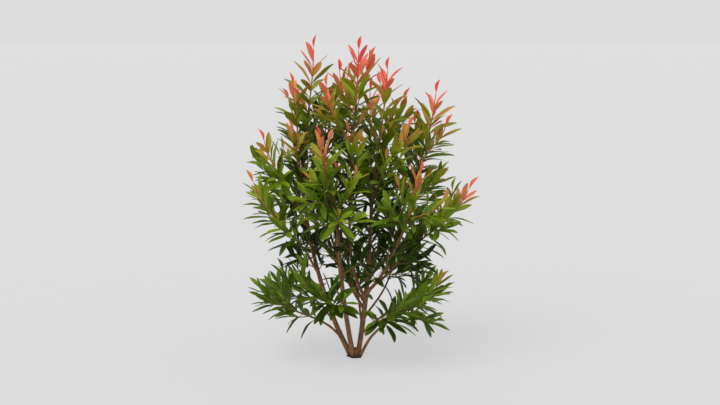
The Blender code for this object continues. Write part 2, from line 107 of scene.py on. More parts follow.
# Limbs: foot or parent, tip, rise in degrees where it starts and ends, and its thickness there.
Stem = namedtuple("Stem", "foot tip rise_start rise_end thick_start thick_end")
STEMS = {
    "stem_front": Stem((-0.004, -0.006), (-0.041, -0.055, 0.315), 74, 86, 0.0130, 0.0095),
    "stem_right": Stem((0.006, -0.003), (0.040, 0.004, 0.358), 79, 88, 0.0124, 0.0082),
    "stem_left": Stem((-0.009, 0.004), (-0.122, 0.015, 0.366), 62, 82, 0.0134, 0.0078),
    "stem_low_right": Stem((0.010, -0.007), (0.050, -0.032, 0.070), 58, 42, 0.0086, 0.0060),
    "stem_rear": Stem((0.007, 0.009), (0.038, 0.098, 0.290), 66, 82, 0.0116, 0.0080),
}
Bough = namedtuple("Bough", "parent share tip rise_start rise_end thick_start thick_end")
BOUGHS = {
    "bough_centre_left": Bough("stem_right", 0.42, (-0.012, -0.006, 0.300), 54, 88, 0.0086, 0.0068),
    "bough_rear_left": Bough("stem_right", 0.34, (-0.062, 0.070, 0.300), 44, 70, 0.0070, 0.0056),
    "bough_right_front": Bough("stem_right", 0.46, (0.108, -0.056, 0.305), 38, 64, 0.0088, 0.0068),
    "bough_right_outer": Bough("bough_right_front", 0.22, (0.122, -0.014, 0.262), 26, 44, 0.0064, 0.0054),
    "bough_right_rear": Bough("bough_right_front", 0.48, (0.128, 0.026, 0.350), 50, 78, 0.0064, 0.0054),
    "bough_left_outer": Bough("stem_left", 0.60, (-0.122, -0.020, 0.272), 40, 46, 0.0064, 0.0054),
    "bough_left_high": Bough("stem_left", 0.90, (-0.150, -0.002, 0.396), 50, 60, 0.0062, 0.0054),
    "bough_left_low": Bough("stem_left", 0.13, (-0.074, -0.018, 0.090), 46, 30, 0.0066, 0.0054),
    "bough_left_near": Bough("stem_left", 0.30, (-0.054, -0.040, 0.134), 34, 30, 0.0056, 0.0048),
    "bough_right_near": Bough("stem_right", 0.17, (0.050, -0.050, 0.096), 34, 32, 0.0056, 0.0048),
    "bough_right_mid": Bough("stem_right", 0.28, (0.066, 0.044, 0.152), 40, 46, 0.0056, 0.0048),
    "bough_back_left": Bough("stem_rear", 0.46, (-0.070, 0.150, 0.250), 34, 50, 0.0074, 0.0058),
    "bough_back_right": Bough("stem_rear", 0.60, (0.096, 0.155, 0.290), 42, 62, 0.0074, 0.0058),
    "bough_back_low": Bough("stem_rear", 0.26, (0.010, 0.110, 0.115), 28, 32, 0.0062, 0.0052),
    "bough_back_low_left": Bough("stem_left", 0.22, (-0.078, 0.054, 0.112), 38, 34, 0.0062, 0.0052),
    "bough_back_low_right": Bough("stem_rear", 0.18, (0.072, 0.060, 0.094), 36, 32, 0.0060, 0.0050),
}
LIMBS = {**STEMS, **BOUGHS}
LIMB_SPANS = 6

# Masses: the limb that carries each, the tip of its main shoot, how red that tip is, and the forks on
# that shoot, each given by the share of the shoot below it, by its own tip and by how red that is.
Mass = namedtuple("Mass", "limb tip flush forks")
Fork = namedtuple("Fork", "share tip flush")
MASSES = {
    "top_left": Mass(
        "stem_left",
        (-0.101, 0.030, 0.748),
        1.2,
        (
            Fork(0.20, (-0.150, 0.010, 0.660), 0.9),
            Fork(0.12, (-0.148, -0.060, 0.552), 0.8),
            Fork(0.30, (-0.070, 0.080, 0.630), 0.3),
            Fork(0.03, (-0.072, -0.050, 0.470), 0.1),
        ),
    ),
    "left_high": Mass(
        "bough_left_high",
        (-0.216, -0.015, 0.527),
        0.65,
        (
            Fork(0.20, (-0.190, -0.090, 0.480), 0.3),
            Fork(0.25, (-0.225, 0.060, 0.495), 0.4),
        ),
    ),
    "left_outer": Mass(
        "bough_left_outer",
        (-0.240, -0.040, 0.430),
        0.55,
        (
            Fork(0.15, (-0.180, -0.110, 0.360), 0.2),
            Fork(0.30, (-0.228, 0.040, 0.390), 0.3),
        ),
    ),
    "front_left": Mass(
        "stem_front",
        (-0.080, -0.120, 0.543),
        0.9,
        (
            Fork(0.12, (-0.002, -0.150, 0.470), 0.3),
            Fork(0.22, (-0.116, -0.185, 0.440), 0.2),
            Fork(0.08, (-0.036, -0.205, 0.385), 0.1),
        ),
    ),
    "top_centre": Mass(
        "bough_centre_left",
        (0.009, 0.000, 0.746),
        1.2,
        (
            Fork(0.45, (-0.066, -0.030, 0.640), 0.9),
            Fork(0.52, (-0.036, 0.060, 0.690), 1.0),
            Fork(0.66, (0.034, 0.040, 0.718), 1.1),
            Fork(0.14, (0.012, -0.070, 0.540), 0.4),
        ),
    ),
    "top_right": Mass(
        "stem_right",
        (0.078, -0.010, 0.698),
        1.05,
        (
            Fork(0.34, (0.116, 0.050, 0.620), 0.85),
            Fork(0.22, (0.124, -0.040, 0.560), 0.8),
            Fork(0.06, (0.075, -0.080, 0.500), 0.3),
        ),
    ),
    "rear_left_high": Mass(
        "bough_rear_left",
        (-0.072, 0.130, 0.650),
        0.7,
        (
            Fork(0.45, (-0.125, 0.120, 0.580), 0.3),
            Fork(0.50, (-0.010, 0.125, 0.630), 0.5),
            Fork(0.12, (-0.020, 0.090, 0.450), 0.0),
        ),
    ),
    "front_right": Mass(
        "bough_right_front",
        (0.151, -0.105, 0.459),
        0.9,
        (
            Fork(0.10, (0.080, -0.160, 0.410), 0.0),
            Fork(0.25, (0.198, -0.150, 0.405), 0.55),
        ),
    ),
    "right_outer": Mass(
        "bough_right_outer",
        (0.271, -0.012, 0.409),
        0.9,
        (
            Fork(0.25, (0.205, -0.085, 0.360), 0.3),
            Fork(0.38, (0.245, 0.070, 0.380), 0.2),
        ),
    ),
    "right_high": Mass(
        "bough_right_rear",
        (0.196, 0.020, 0.640),
        1.1,
        (
            Fork(0.45, (0.216, 0.010, 0.560), 0.75),
            Fork(0.30, (0.150, 0.085, 0.560), 0.55),
            Fork(0.14, (0.200, 0.050, 0.440), 0.0),
        ),
    ),
    "low_right": Mass(
        "stem_low_right",
        (0.208, -0.058, 0.204),
        0.45,
        (
            Fork(0.34, (0.160, -0.125, 0.160), -0.4),
            Fork(0.46, (0.188, 0.010, 0.165), -0.4),
        ),
    ),
    "low_right_near": Mass(
        "bough_right_near",
        (0.112, -0.175, 0.180),
        -0.4,
        (Fork(0.15, (0.042, -0.155, 0.135), -0.4),),
    ),
    "low_right_rear": Mass(
        "bough_right_mid",
        (0.112, 0.085, 0.320),
        -0.3,
        (Fork(0.20, (0.160, 0.070, 0.250), -0.4),),
    ),
    "low_left": Mass(
        "bough_left_low",
        (-0.232, -0.030, 0.180),
        -0.3,
        (
            Fork(0.30, (-0.170, -0.100, 0.165), -0.4),
            Fork(0.40, (-0.205, 0.045, 0.175), -0.4),
        ),
    ),
    "low_left_near": Mass(
        "bough_left_near",
        (-0.082, -0.185, 0.206),
        -0.4,
        (
            Fork(0.20, (-0.125, -0.140, 0.215), -0.5),
            Fork(0.12, (-0.026, -0.160, 0.180), -0.4),
        ),
    ),
    "rear_mid": Mass(
        "stem_rear",
        (0.038, 0.150, 0.640),
        0.9,
        (
            Fork(0.20, (-0.030, 0.190, 0.520), 0.2),
            Fork(0.30, (0.090, 0.150, 0.560), 0.6),
            Fork(0.12, (0.030, 0.215, 0.450), 0.0),
        ),
    ),
    "rear_left": Mass(
        "bough_back_left",
        (-0.150, 0.190, 0.500),
        0.8,
        (
            Fork(0.28, (-0.215, 0.130, 0.410), 0.2),
            Fork(0.25, (-0.110, 0.240, 0.400), 0.2),
        ),
    ),
    "rear_right": Mass(
        "bough_back_right",
        (0.145, 0.190, 0.510),
        0.75,
        (
            Fork(0.20, (0.215, 0.140, 0.430), 0.4),
            Fork(0.20, (0.105, 0.250, 0.410), 0.2),
        ),
    ),
    "rear_low": Mass(
        "bough_back_low",
        (0.010, 0.245, 0.230),
        -0.4,
        (
            Fork(0.25, (-0.060, 0.205, 0.230), -0.4),
            Fork(0.30, (0.065, 0.205, 0.250), -0.4),
        ),
    ),
    "rear_low_left": Mass(
        "bough_back_low_left",
        (-0.180, 0.160, 0.170),
        -0.3,
        (Fork(0.28, (-0.215, 0.095, 0.155), -0.4),),
    ),
    "rear_low_right": Mass(
        "bough_back_low_right",
        (0.190, 0.160, 0.175),
        0.0,
        (Fork(0.28, (0.225, 0.095, 0.150), -0.4),),
    ),
}

# Bark tubes: sides, spacing of their rings, relief, the swelling where a limb leaves the crown or its
# parent, and then the root crown and its nub.
STEM_SIDES = 28
BOUGH_SIDES = 20
BARK_RING = 0.0016
BARK_RELIEF = 0.00045
BARK_COARSE = 190.0
BARK_FINE = 620.0
BARK_STRETCH = 0.22
BARK_FULL_RADIUS = 0.0065
BARK_LEAST = 0.35
COLLAR_SWELL = 0.55
COLLAR_REACH = 0.006
STEM_SWELL = 0.10
STEM_SWELL_REACH = 0.030
LIMB_TIP_SHARE = 0.86
LIMB_SPAN_POINTS = 6
FOOT_RADIUS = 0.0125
FOOT_HEIGHT = 0.024
FOOT_SIDES = 64
FOOT_RING = 0.0008
FOOT_FLARE = 0.0016
FOOT_FLARE_REACH = 0.004
FOOT_TOP_SHARE = 0.35
FOOT_COARSER = 2.2
NUB_HEADING = 196.0
NUB_LENGTH = 0.023
NUB_RADIUS = 0.0032
NUB_HEIGHT = 0.0042
NUB_SIDES = 16
NUB_RING = 0.0010
NUB_TAPER = 0.30
WOOD_SHARP = 60.0

# Twigs: their sides, thickness at a fork and at a tip, and the knot at each pair of leaves.
TWIG_SIDES = 8
TWIG_SPANS = 20
TWIG_RING = 0.0030
FORK_SHARE = 0.55
TWIG_TIP_THICK = 0.0022
TWIG_TURN_UP = 0.80
FORK_SPREAD = 0.70
KNOT_SWELL = 0.0004
KNOT_REACH = 0.0016
CORAL_WOOD = 0.050
ORANGE_WOOD = 0.120
GREEN_WOOD = 0.100

# Finer twigs on each shoot: spacing, length, thickness and angle to it, how each turns on from the last,
# how much shorter they get up the shoot, and how far they lean upwards.
FINE_SPACING = 0.056
FINE_SPARSER = 1.2
SHADE_HEIGHT = 0.35
FINE_FIRST = 0.04
FINE_LAST = 0.80
FINE_SHORT = 0.050
FINE_LONG = 0.100
FINE_THICK = 0.0028
FINE_ANGLE = 46.0
FINE_ANGLE_SPREAD = 10.0
FINE_TURN = (70.0, 150.0)
FINE_SHORTER = 0.5
FINE_SPACING_SPREAD = (0.7, 1.4)
FINE_SPANS = 8
FINE_TRIES = 6
FINE_LATER = 0.8
FINE_SOONER_UP = 0.8
FINE_RISE = 0.20
FINE_RISE_WITH_HEIGHT = 0.65

# Short leafy twigs on the limbs themselves, in the shade below the crown.
INNER_LOWEST = 0.195
INNER_SPACING = 0.028
INNER_SHORT = 0.035
INNER_LONG = 0.075
INNER_ANGLE = 52.0
INNER_TURN = (100.0, 170.0)
INNER_SPACING_SPREAD = (0.7, 1.3)
INNER_RISE = 0.1
INNER_TURN_UP = 0.3
INNER_SPANS = 6
INNER_FLUSH = -2.2
INNER_SIZE = 0.80

# Leaves: spacing of the pairs, then size, angle to the twig, bend, fold and turn of the oldest and
# youngest, and of the closed pair that is the bud.
PAIR_SPACING = 0.0175
BUD_STALK = 0.014
RED_FLUSH = 0.5
BARE_SHARE = 0.10
YOUNG_REACH = 0.150
FULL_LENGTH_AGE = 1.6
OLD_LENGTH = 0.076
YOUNG_LENGTH = 0.046
OLD_ANGLE = 60.0
YOUNG_ANGLE = 24.0
BUD_ANGLE = 11.0
OLD_WIDTH = 0.245
YOUNG_WIDTH = 0.235
WIDTH_SPREAD = 0.24
BLADE_SKEW = 1.06
BLADE_FULLNESS = 0.64
LENGTH_SPREAD = 0.14
ANGLE_SPREAD = 7.0
ROLL_SPREAD = 9.0
PAIR_STAGGER = 0.0010
QUARTER_TURN = 90.0
FIRST_TURN = 45.0
FIRST_TURN_SPREAD = 10.0
NEARLY_UPRIGHT = 0.05
OLD_BEND = 0.46
BEND_SPREAD = 0.22
SKY_TURN = 1.3
TWIST_SPREAD = 0.14
UPRIGHT_ROLL = 6.0
SIDE_BEND = 0.09
FOLD_SPREAD = (0.7, 1.3)
OLD_FOLD = 0.26
YOUNG_FOLD = 0.42
BUD_FOLD = 0.95
BUD_WIDTH = 0.25
BUD_FULLNESS = 1.15
BUD_LENGTH = 0.040
BUD_SPREAD = 0.08
WAVE = 0.012
WAVE_TURNS = 9.0
HALFWAY_OUT = 0.52
NO_BEND = 1e-3
LEAF_SHARP = 50.0
BLADE_THICK = 0.0006
STALK_SHARE = 0.055
STALK_RADIUS = 0.0007
RIB_RADIUS = 0.0007
BLADE_ROWS = (0.0, 0.05, 0.09, 0.15, 0.24, 0.35, 0.47, 0.59, 0.71, 0.82, 0.91, 0.965)

# Tries at a leaf that meets something, and how far it may reach past the middle between two masses.
CLOSER_TRIES = (1.0, 0.80, 1.18, 0.60)
SHORTER_TRIES = (1.0, 0.80)
SPACE_OVERLAP = 0.025
WOOD_MARGIN = 0.0006
NEIGHBOUR_REACH = 0.060
SEED = 11


def linear(red, green, blue):
    """A colour given in screen values from 0 to 255, as Blender's linear values."""
    return tuple(
        value / 255.0 / 12.92 if value <= 10 else ((value / 255.0 + 0.055) / 1.055) ** 2.4
        for value in (red, green, blue)
    )


# Tints of leaves and of their midribs, from the bud down the shoot.
Tint = namedtuple("Tint", "name colour roughness")
TINTS = (
    Tint("bud_red", linear(234, 80, 82), 0.50),
    Tint("coral", linear(238, 116, 90), 0.50),
    Tint("salmon", linear(230, 134, 90), 0.50),
    Tint("orange", linear(214, 146, 76), 0.50),
    Tint("bronze", linear(188, 142, 60), 0.50),
    Tint("olive", linear(160, 148, 40), 0.52),
    Tint("lime", linear(142, 160, 30), 0.52),
    Tint("light_green", linear(120, 146, 26), 0.52),
    Tint("leaf_green", linear(101, 127, 20), 0.52),
    Tint("mid_green", linear(80, 104, 15), 0.52),
    Tint("deep_green", linear(63, 85, 14), 0.52),
    Tint("dark_green", linear(46, 65, 13), 0.52),
)
RIBS = (
    Tint("young_rib", linear(226, 128, 96), 0.50),
    Tint("old_rib", linear(126, 144, 36), 0.52),
)
WOODS = (
    Tint("twig_coral", linear(214, 104, 80), 0.60),
    Tint("twig_orange", linear(186, 118, 66), 0.60),
    Tint("twig_green", linear(134, 122, 56), 0.60),
    Tint("twig_brown", linear(120, 86, 60), 0.70),
)
BARK_DARK = linear(74, 48, 28)
BARK_MIDDLE = linear(130, 90, 56)
BARK_PALE = linear(170, 124, 82)
SOIL_STAIN = linear(34, 24, 18)
BARK_ROUGHNESS = 0.85
SOFT_GLOSS = 0.20

# A leaf takes the tint whose step it falls in: how far below the tip it sits, carried on down by
# FLUSH_REACH on a shoot that is not red at all, with a little chance for the spray and for the leaf.
YOUNG_TINTS = 5
TINT_STEPS = (0.011, 0.036, 0.044, 0.054, 0.066, 0.084, 0.106, 0.136, 0.172, 0.218, 0.280)
FLUSH_REACH = 0.095
TINT_JITTER = 0.010
SPRAY_JITTER = 0.010

Shoot = namedtuple("Shoot", "mass path thick_start flush inner")
Leaf = namedtuple("Leaf", "root axis side angle length bend age back bud inner")
Chance = namedtuple("Chance", "fold twist sweep phase width")


def plain_material(name, colour, roughness):
    """A Principled material with one colour."""
    material = bpy.data.materials.new(name)
    material.use_nodes = True
    shader = material.node_tree.nodes["Principled BSDF"]
    shader.inputs["Base Color"].default_value = (*colour, 1.0)
    shader.inputs["Roughness"].default_value = roughness
    shader.inputs["Specular IOR Level"].default_value = SOFT_GLOSS
    return material


def floor_material():
    """A pale floor with a light of its own, so that the shadow on it stays faint."""
    material = plain_material("pale_floor", (FLOOR_TONE, FLOOR_TONE, FLOOR_TONE), 1.0)
    shader = material.node_tree.nodes["Principled BSDF"]
    shader.inputs["Emission Color"].default_value = (1.0, 1.0, 1.0, 1.0)
    shader.inputs["Emission Strength"].default_value = FLOOR_GLOW
    return material


def bark_material():
    """Grey-brown bark with long fissures, darker where soil has stained it near the ground."""
    material = bpy.data.materials.new("bark")
    material.use_nodes = True
    tree = material.node_tree
    nodes = tree.nodes
    links = tree.links
    shader = nodes["Principled BSDF"]
    shader.inputs["Roughness"].default_value = BARK_ROUGHNESS
    place = nodes.new("ShaderNodeTexCoord")
    stretch = nodes.new("ShaderNodeMapping")
    stretch.inputs["Scale"].default_value = (1.0, 1.0, 0.25)
    links.new(place.outputs["Object"], stretch.inputs["Vector"])
    grain = nodes.new("ShaderNodeTexNoise")
    grain.inputs["Scale"].default_value = 420.0
    grain.inputs["Detail"].default_value = 6.0
    grain.inputs["Roughness"].default_value = 0.62
    links.new(stretch.outputs["Vector"], grain.inputs["Vector"])
    colours = nodes.new("ShaderNodeValToRGB")
    ramp = colours.color_ramp
    ramp.elements[0].position = 0.30
    ramp.elements[0].color = (*BARK_DARK, 1.0)
    ramp.elements[1].position = 0.72
    ramp.elements[1].color = (*BARK_PALE, 1.0)
    middle = ramp.elements.new(0.50)
    middle.color = (*BARK_MIDDLE, 1.0)
    links.new(grain.outputs["Fac"], colours.inputs["Fac"])
    height = nodes.new("ShaderNodeSeparateXYZ")
    links.new(place.outputs["Object"], height.inputs["Vector"])
    soil = nodes.new("ShaderNodeMapRange")
    soil.inputs["From Min"].default_value = 0.003
    soil.inputs["From Max"].default_value = 0.016
    links.new(height.outputs["Z"], soil.inputs["Value"])
    stain = nodes.new("ShaderNodeMix")
    stain.data_type = "RGBA"
    stain.inputs["A"].default_value = (*SOIL_STAIN, 1.0)
    links.new(soil.outputs["Result"], stain.inputs["Factor"])
    links.new(colours.outputs["Color"], stain.inputs["B"])
    links.new(stain.outputs["Result"], shader.inputs["Base Color"])
    bump = nodes.new("ShaderNodeBump")
    bump.inputs["Strength"].default_value = 0.5
    bump.inputs["Distance"].default_value = 0.0004
    links.new(grain.outputs["Fac"], bump.inputs["Height"])
    links.new(bump.outputs["Normal"], shader.inputs["Normal"])
    return material


def smooth_arc(start, heading_start, heading_end, tip, spans):
    """Points of one smooth arc from start to tip, with the given headings at its two ends."""
    handle = (tip - start).length / 3.0
    near = start + heading_start.normalized() * handle
    far = tip - heading_end.normalized() * handle
    return [Vector(point) for point in interpolate_bezier(start, near, far, tip, spans + 1)]


def rising(start, tip, rise):
    """The heading from start towards tip in plan, rising by an angle in degrees."""
    run = Vector((tip.x - start.x, tip.y - start.y, 0.0)).normalized()
    angle = math.radians(rise)
    return run * math.cos(angle) + UP * math.sin(angle)


def path_length(path):
    """The length of a path through its points."""
    return sum((b - a).length for a, b in zip(path, path[1:]))


def place_on(path, distance):
    """The point at a distance along a path, and the heading there."""
    for a, b in zip(path, path[1:]):
        span = (b - a).length
        if distance <= span:
            return a + (b - a) * (distance / span), (b - a).normalized()
        distance -= span
    return path[-1].copy(), (path[-1] - path[-2]).normalized()


def arc_between(start, tip, limb):
    """The centre line of one limb, rising as the limb does where it starts and ends."""
    return smooth_arc(
        start, rising(start, tip, limb.rise_start), rising(start, tip, limb.rise_end), tip, LIMB_SPANS
    )


def limb_paths():
    """The centre line of every stem and bough, from the foot or the parent's axis to the tip."""
    paths = {}
    for name, stem in STEMS.items():
        paths[name] = arc_between(Vector((*stem.foot, 0.0)), Vector(stem.tip), stem)
    for name, bough in BOUGHS.items():
        parent = paths[bough.parent]
        start = place_on(parent, path_length(parent) * bough.share)[0]
        paths[name] = arc_between(start, Vector(bough.tip), bough)
    return paths


def with_stalk(path, flush):
    """The path of a shoot, carried on by the bare stalk of its red bud if it has one."""
    if flush <= RED_FLUSH:
        return path
    return [*path, path[-1] + (path[-1] - path[-2]).normalized() * BUD_STALK]


def mass_shoots(paths):
    """The main shoot of every mass, from its limb's tip, and the forks on it."""
    shoots = []
    for name, mass in MASSES.items():
        limb = LIMBS[mass.limb]
        start, heading = place_on(paths[mass.limb], path_length(paths[mass.limb]))
        tip = Vector(mass.tip)
        leaving = (tip - start).normalized() + UP * TWIG_TURN_UP
        main = with_stalk(smooth_arc(start, heading, leaving, tip, TWIG_SPANS), mass.flush)
        shoots.append(Shoot(name, main, limb.thick_end, mass.flush, False))
        for branch in mass.forks:
            thick = TWIG_TIP_THICK + (limb.thick_end - TWIG_TIP_THICK) * (1.0 - branch.share) * FORK_SHARE
            start, along = place_on(main, path_length(main) * branch.share)
            tip = Vector(branch.tip)
            straight = (tip - start).normalized()
            opening = along + straight * FORK_SPREAD
            fork = smooth_arc(start, opening, straight + UP * TWIG_TURN_UP, tip, TWIG_SPANS)
            fork = with_stalk(fork, branch.flush)
            shoots.append(Shoot(name, fork, thick, branch.flush, False))
    return shoots


class Segments:
    """Straight pieces of wood with an owner, tested by their distance from a point."""

    def __init__(self, shoots, limbs=()):
        rows = []
        woods = [(shoot.mass, shoot.path, shoot.thick_start, TWIG_TIP_THICK) for shoot in shoots]
        woods += [("limb", path, limb.thick_start, limb.thick_end) for path, limb in limbs]
        for index, (mass, path, thick_start, thick_end) in enumerate(woods):
            count = len(path) - 1
            for step, (a, b) in enumerate(zip(path, path[1:])):
                thick = thick_start + (thick_end - thick_start) * step / count
                rows.append((mass, index, a, b, 0.5 * thick))
        self.masses = numpy.array([row[0] for row in rows])
        self.indexes = numpy.array([row[1] for row in rows])
        self.starts = numpy.array([tuple(row[2]) for row in rows])
        self.spans = numpy.array([tuple(row[3] - row[2]) for row in rows])
        self.radii = numpy.array([row[4] for row in rows])
        self.squares = (self.spans**2).sum(axis=1)

    def distances(self, points):
        """Distance of each point from each piece's axis, one row a point."""
        offsets = points[:, None, :] - self.starts[None, :, :]
        shares = numpy.clip((offsets * self.spans).sum(axis=2) / self.squares, 0.0, 1.0)
        return numpy.linalg.norm(offsets - self.spans * shares[:, :, None], axis=2)

    def holds(self, mass, points):
        """Tell whether the points lie nearer to their own mass's twigs than to others', or little further."""
        own = self.masses == mass
        distances = self.distances(points)
        nearest = distances[:, own].min(axis=1)
        return bool((nearest - SPACE_OVERLAP < distances[:, ~own].min(axis=1)).all())

    def clears(self, points, own_index):
        """Tell whether the points stay out of all wood but one shoot's."""
        others = self.indexes != own_index
        distances = self.distances(points)[:, others] - self.radii[others]
        return bool(distances.min() > WOOD_MARGIN)


def side_of(axis, turn):
    """A direction square to an axis, turned about it by an angle in degrees."""
    level = axis.cross(UP)
    if level.length < NEARLY_UPRIGHT:
        level = Vector((1.0, 0.0, 0.0))
    level.normalize()
    return Matrix.Rotation(math.radians(turn), 3, axis) @ level


def fine_twigs(shoots, space, low, high, draw):
    """Finer twigs that leave each shoot at an angle and turn up, within the space of its mass."""
    made = []
    for shoot in shoots:
        length = path_length(shoot.path)
        distance = length * FINE_FIRST + draw.uniform(0.0, FINE_SPACING)
        turn = draw.uniform(0.0, 360.0)
        while distance < length * FINE_LAST:
            start, axis = place_on(shoot.path, distance)
            share = distance / length
            late = shoot.flush - FINE_LATER * (1.0 - FINE_SOONER_UP * share)
            for _ in range(FINE_TRIES):
                turn += draw.uniform(*FINE_TURN)
                reach = draw.uniform(FINE_SHORT, FINE_LONG) * (1.0 - FINE_SHORTER * share)
                angle = math.radians(FINE_ANGLE + draw.uniform(-FINE_ANGLE_SPREAD, FINE_ANGLE_SPREAD))
                opening = axis * math.cos(angle) + side_of(axis, turn) * math.sin(angle)
                rise = FINE_RISE + FINE_RISE_WITH_HEIGHT * start.z
                tip = start + (opening + UP * rise).normalized() * reach
                path = smooth_arc(start, opening, opening + UP * TWIG_TURN_UP, tip, FINE_SPANS)
                outer = numpy.array([tuple(point) for point in path[3:]])
                inside = (outer > low).all() and (outer < high).all()
                if inside and space.holds(shoot.mass, outer):
                    made.append(Shoot(shoot.mass, path, FINE_THICK, late, False))
                    break
            sparser = 1.0 + FINE_SPARSER * max(0.0, 1.0 - start.z / SHADE_HEIGHT)
            distance += FINE_SPACING * sparser * draw.uniform(*FINE_SPACING_SPREAD)
    return made


def inner_twigs(paths, draw):
    """Short twigs on the limbs above a height, which belong to the mass that the limb carries."""
    carried = {mass.limb: name for name, mass in MASSES.items()}
    made = []
    for limb_name, path in paths.items():
        length = path_length(path)
        distance = draw.uniform(0.3, 1.0) * INNER_SPACING
        turn = draw.uniform(0.0, 360.0)
        while distance < length:
            start, axis = place_on(path, distance)
            distance += INNER_SPACING * draw.uniform(*INNER_SPACING_SPREAD)
            turn += draw.uniform(*INNER_TURN)
            if start.z < INNER_LOWEST:
                continue
            reach = draw.uniform(INNER_SHORT, INNER_LONG)
            angle = math.radians(INNER_ANGLE + draw.uniform(-FINE_ANGLE_SPREAD, FINE_ANGLE_SPREAD))
            opening = axis * math.cos(angle) + side_of(axis, turn) * math.sin(angle)
            tip = start + (opening + UP * INNER_RISE).normalized() * reach
            outward = smooth_arc(start, opening, opening + UP * INNER_TURN_UP, tip, INNER_SPANS)
            made.append(Shoot(carried[limb_name], outward, FINE_THICK, INNER_FLUSH, True))
    return made


def pair_backs(shoot):
    """How far below the tip of a shoot each pair of leaves sits, the bud pair on a stalk of its own."""
    length = path_length(shoot.path)
    count = max(2, round(length * (1.0 - BARE_SHARE) / PAIR_SPACING))
    stalk = BUD_STALK if shoot.flush > RED_FLUSH else 0.0
    backs = [0.0] + [pair * PAIR_SPACING + stalk for pair in range(1, count)]
    return [back for back in backs if back <= length * (1.0 - 0.5 * BARE_SHARE)]


def leaf_places(shoot, draw):
    """The leaves of a shoot from its tip down: a closed bud pair, then pairs a quarter turn apart."""
    length = path_length(shoot.path)
    first_turn = FIRST_TURN + draw.uniform(-1.0, 1.0) * FIRST_TURN_SPREAD
    places = []
    for pair, back in enumerate(pair_backs(shoot)):
        age = min(1.0, back / YOUNG_REACH)
        if shoot.inner:
            age = 0.5 + 0.5 * age
        bud = pair == 0 and not shoot.inner
        turn = first_turn + QUARTER_TURN * pair + draw.uniform(-ROLL_SPREAD, ROLL_SPREAD)
        for half in (0, 1):
            distance = length - back - half * PAIR_STAGGER - PAIR_STAGGER
            root, axis = place_on(shoot.path, distance)
            angle = YOUNG_ANGLE + (OLD_ANGLE - YOUNG_ANGLE) * age + draw.uniform(-1.0, 1.0) * ANGLE_SPREAD
            size = YOUNG_LENGTH + (OLD_LENGTH - YOUNG_LENGTH) * min(1.0, age * FULL_LENGTH_AGE)
            size *= (1.0 + draw.uniform(-1.0, 1.0) * LENGTH_SPREAD) * (INNER_SIZE if shoot.inner else 1.0)
            if bud:
                angle = BUD_ANGLE
                size = BUD_LENGTH * (1.0 + draw.uniform(-1.0, 1.0) * BUD_SPREAD)
            side = side_of(axis, turn + 180.0 * half)
            bend = OLD_BEND * age + draw.uniform(-1.0, 1.0) * BEND_SPREAD * age
            places.append(Leaf(root, axis, side, angle, size, bend, age, back, bud, shoot.inner))
    return places


def blade_half_width(share, width, fullness):
    """Half the width of a blade at a share of its length: a long oval on a thin stalk."""
    stalk = STALK_RADIUS
    if share <= STALK_SHARE:
        return stalk
    along = (share - STALK_SHARE) / (1.0 - STALK_SHARE)
    return max(stalk, 0.5 * width * math.sin(math.pi * along**BLADE_SKEW) ** fullness)


def leaf_shape(length, bend, fold, twist, side_bend, phase, width, fullness):
    """Points of one leaf along +X, its upper face towards +Z: rings of eight points, then the tip."""
    points = []
    for share in BLADE_ROWS:
        half = blade_half_width(share, width, fullness)
        angle = bend * share
        if abs(bend) > NO_BEND:
            along = length * math.sin(angle) / bend
            drop = -length * (1.0 - math.cos(angle)) / bend
        else:
            along = length * share
            drop = 0.0
        thick = 0.5 * BLADE_THICK if share > STALK_SHARE else STALK_RADIUS
        rib = min(RIB_RADIUS, 0.6 * half)
        roll = twist * share
        ripple = WAVE * length * math.sin(phase + WAVE_TURNS * share)
        mid = HALFWAY_OUT * half
        across = (-half, -mid, -rib, rib, mid, half, mid, -mid)
        for index, y in enumerate(across):
            upper = index in (1, 2, 3, 4)
            lower = index in (6, 7)
            lift = abs(y) * math.tan(fold) + (thick if upper else 0.0) - (thick if lower else 0.0)
            if index in (2, 3):
                lift -= 0.5 * thick
            lift += ripple * abs(y) / (0.5 * width)
            turned_y = y * math.cos(roll) - lift * math.sin(roll)
            turned_z = y * math.sin(roll) + lift * math.cos(roll)
            points.append(
                (
                    along + turned_z * math.sin(angle),
                    turned_y + side_bend * length * share**2,
                    drop + turned_z * math.cos(angle),
                )
            )
    if abs(bend) > NO_BEND:
        tip = (length * math.sin(bend) / bend, side_bend * length, -length * (1.0 - math.cos(bend)) / bend)
    else:
        tip = (length, side_bend * length, 0.0)
    points.append(tip)
    return numpy.array(points)


def leaf_faces():
    """Faces of a leaf's rings, with the midrib's own faces marked."""
    faces = []
    ribs = []
    for row in range(len(BLADE_ROWS) - 1):
        for column in range(8):
            after = (column + 1) % 8
            a = row * 8
            faces.append((a + column, a + 8 + column, a + 8 + after, a + after))
            ribs.append(column == 2)
    faces.append(tuple(range(8)))
    ribs.append(False)
    last = (len(BLADE_ROWS) - 1) * 8
    tip = last + 8
    for column in range(8):
        after = (column + 1) % 8
        faces.append((last + column, tip, last + after))
        ribs.append(column == 2)
    return faces, ribs


def net_faces():
    """Faces of a leaf's upper side that stand for it when leaves are kept apart."""
    faces = []
    for row in range(2, len(BLADE_ROWS) - 1, 2):
        after = min(row + 2, len(BLADE_ROWS) - 1)
        for a, b in ((0, 2), (2, 5)):
            faces.append((row * 8 + a, after * 8 + a, after * 8 + b, row * 8 + b))
    last = (len(BLADE_ROWS) - 1) * 8
    faces.append((last, last + 8, last + 5))
    return faces


LEAF_FACES, LEAF_RIBS = leaf_faces()
NET_FACES = net_faces()
RING_SAMPLES = [row * 8 + column for row in (2, 4, 6, 8, 10) for column in (0, 2, 5)] + [len(BLADE_ROWS) * 8]


